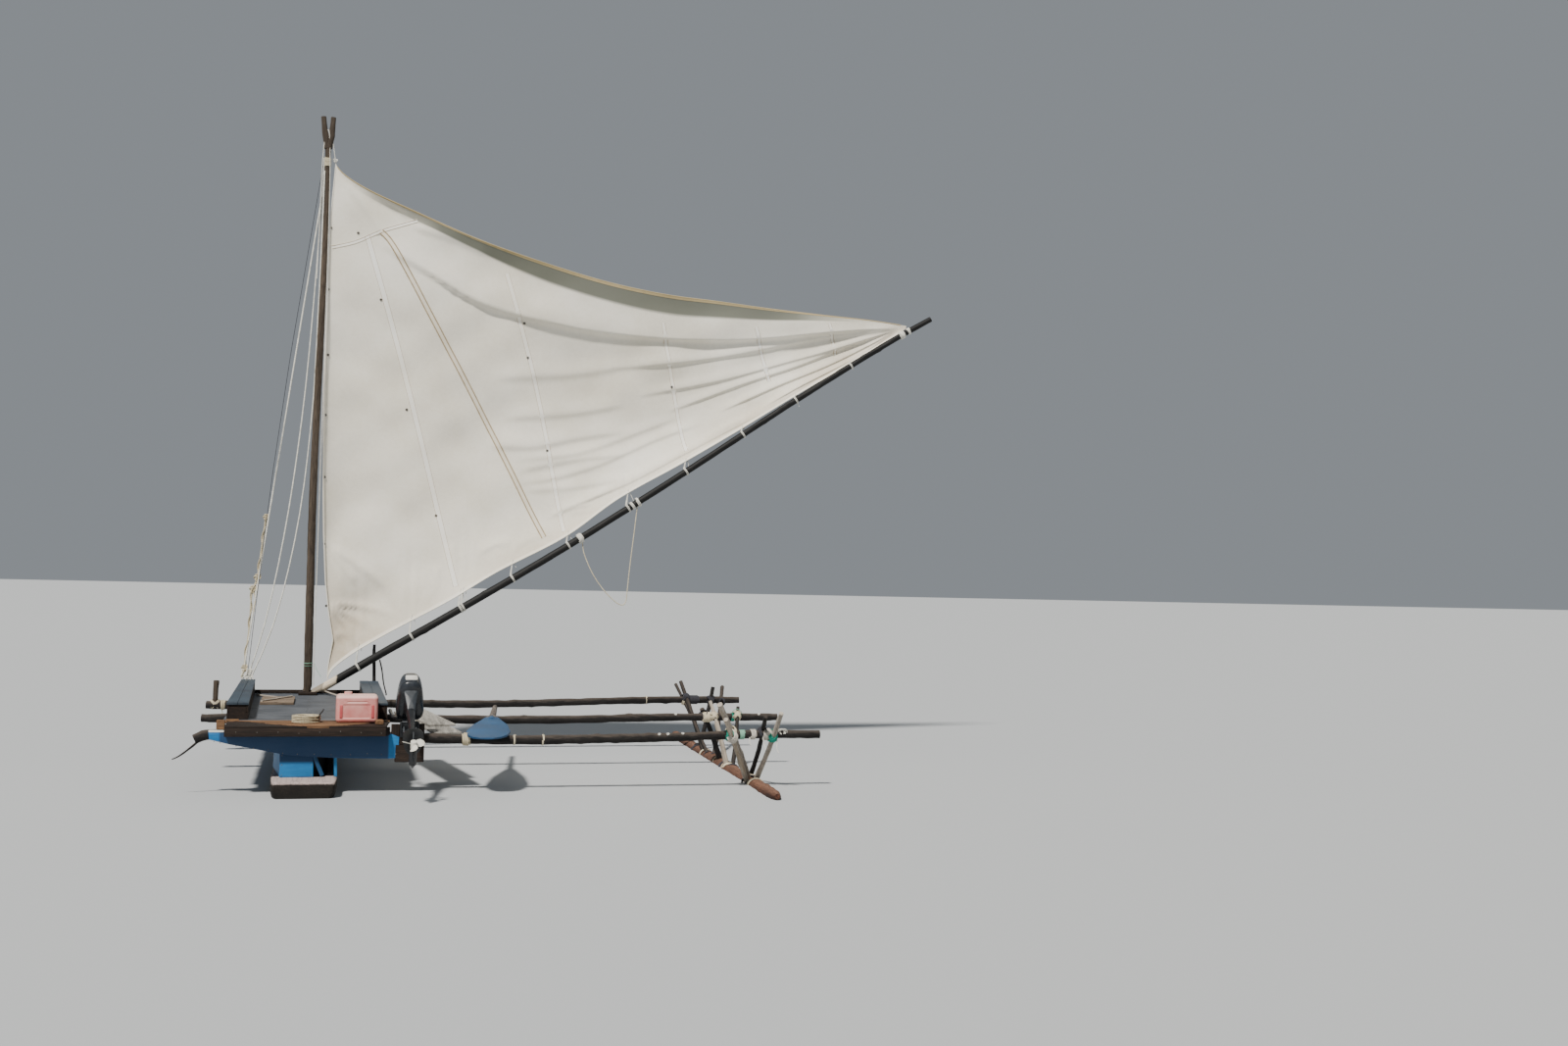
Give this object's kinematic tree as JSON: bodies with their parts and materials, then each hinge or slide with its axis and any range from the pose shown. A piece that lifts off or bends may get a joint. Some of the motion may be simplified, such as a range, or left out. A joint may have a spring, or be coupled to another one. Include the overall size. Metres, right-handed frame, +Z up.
{
  "type": "sailing outrigger canoe",
  "caption": "Dugout sailing canoe with a log float on crooked crossbeams, a plank platform, a mast with a triangular sail on a long boom, and a small tilted outboard motor.",
  "frame": {"origin": "amidships in the hull's centre plane, on the waterline at rest afloat", "axes": "+X to starboard where the float is, +Y to the bow, +Z up"},
  "size_m": [7.9435, 9.2196, 6.943],
  "materials": {
    "weathered_log": "weathered dugout log, unpainted",
    "dark_pole": "dark weathered round poles",
    "peeled_stick": "peeled sun-bleached sticks",
    "float_wood": "wet reddish log",
    "blue_paint": "blue painted boards, worn",
    "slate_paint": "slate grey painted boards",
    "bare_plank": "bare orange-brown plank",
    "grey_board": "grey weathered boards",
    "black_boom": "tarred black pole",
    "canvas": "ivory sail canvas",
    "rope": "worn laid rope",
    "red_plastic": "faded red moulded plastic",
    "black_cowl": "black motor cowl",
    "black_enamel": "black enamelled casting",
    "cast_metal": "bare cast aluminium",
    "white_enamel": "white enamelled propeller"
  },
  "bodies": {
    "root": {"hull_dugout": "weathered_log", "washstrake_left": "blue_paint", "washstrake_right": "blue_paint", "riser_panel_stern": "blue_paint", "riser_panel_bow": "blue_paint", "cross_panel_stern": "blue_paint", "thwart_aft": "grey_board", "thwart_fore": "grey_board", "beam_stern": "dark_pole", "beam_middle": "dark_pole", "beam_fore": "dark_pole", "bearer_left": "dark_pole", "bearer_middle": "dark_pole", "bearer_right": "dark_pole", "deck": "slate_paint", "deck_edge_plank": "bare_plank", "fascia_stern": "dark_pole", "stern_board_left": "dark_pole", "stern_board_right": "dark_pole", "coaming_fore": "dark_pole", "side_box_left": "slate_paint", "side_box_right": "slate_paint", "loose_board": "bare_plank", "fuel_tank": "red_plastic", "mast_step": "dark_pole", "mast": "dark_pole", "boom_post": "dark_pole", "stay_outer": "rope", "stay_middle": "rope", "stay_inner": "rope", "peg_port": "peeled_stick", "strut_1": "peeled_stick", "strut_2": "peeled_stick", "strut_3": "dark_pole", "strut_4": "dark_pole", "strut_5": "peeled_stick", "strut_6": "dark_pole", "strut_7": "dark_pole", "strut_8": "dark_pole", "strut_9": "dark_pole", "strut_10": "dark_pole", "strut_11": "dark_pole", "float_log": "float_wood", "steering_oar": "blue_paint", "spare_board_long": "grey_board", "spare_board_short": "grey_board", "rope_coil": "rope", "motor_board": "grey_board", "motor_clamp": "cast_metal"},
    "boom_rig": {"boom": "black_boom", "sail": "canvas", "bridle_rope": "rope"},
    "motor_tilting": {"motor_swivel": "cast_metal"},
    "motor_steering": {"motor_cowl": "black_cowl", "motor_leg": "black_enamel", "motor_tiller": "black_cowl"},
    "motor_propeller": {"propeller": "white_enamel"}
  },
  "joints": [
    {"name": "boom_swing", "type": "hinge", "parent": "root", "child": "boom_rig", "pos_m": [-0.028, -0.6, 0.632], "axis": [0.0075, 0, 1], "range_deg": [-90, 0]},
    {"name": "motor_tilt", "type": "hinge", "parent": "root", "child": "motor_tilting", "pos_m": [0.87, -4.07, 0.62], "axis": [1, 0, 0], "range_deg": [0, 65]},
    {"name": "motor_steer", "type": "hinge", "parent": "motor_tilting", "child": "motor_steering", "pos_m": [0.87, -4.09113, 0.66531], "axis": [0, 0.9063, 0.4226], "range_deg": [-40, 40]},
    {"name": "propeller_spin", "type": "hinge", "parent": "motor_steering", "child": "motor_propeller", "pos_m": [0.87, -4.80918, 0.50151], "axis": [0, 0.4226, -0.9063], "continuous": true}
  ]
}
